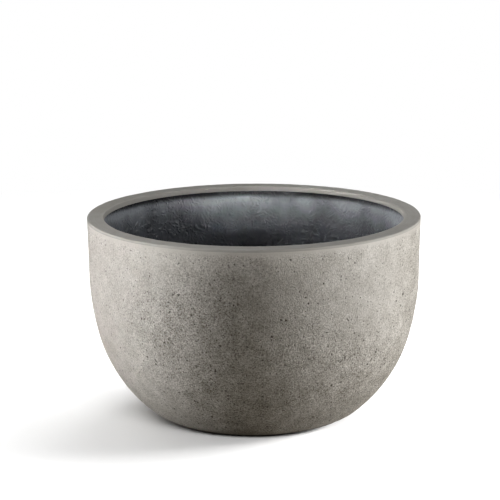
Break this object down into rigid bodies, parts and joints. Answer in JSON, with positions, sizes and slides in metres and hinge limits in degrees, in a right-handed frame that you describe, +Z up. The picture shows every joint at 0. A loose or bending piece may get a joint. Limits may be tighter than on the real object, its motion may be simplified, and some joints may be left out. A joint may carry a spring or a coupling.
{
  "type": "concrete bowl planter",
  "caption": "Round bowl planter with a straight upper wall that curves under to a flat base, a wide flat inward rim, a black coated inside and a drain plug in the floor.",
  "frame": {"origin": "centre of the bowl, on the surface that its foot pads stand on", "axes": "+Z up along the axis of the bowl; +X and +Y level, each halfway between two pads; the picture looks along +Y"},
  "size_m": [0.5999, 0.5998, 0.37],
  "materials": {
    "concrete": "matte",
    "laminate": "matte",
    "mortar": "matte",
    "coating": "satin",
    "bush_plastic": "satin",
    "plug_rubber": "matte",
    "pad_rubber": "matte"
  },
  "bodies": {
    "bowl": {"concrete_skin": "concrete", "fibre_laminate": "laminate", "rim_core": "mortar", "waterproof_coating": "coating", "drain_bush": "bush_plastic", "foot_pad_1": "pad_rubber", "foot_pad_2": "pad_rubber", "foot_pad_3": "pad_rubber", "foot_pad_4": "pad_rubber"},
    "plug": {"drain_plug": "plug_rubber"}
  },
  "joints": [
    {"name": "plug_pull", "type": "slide", "parent": "bowl", "child": "plug", "axis": [0, 0, 1], "range_m": [0, 0.06]}
  ]
}
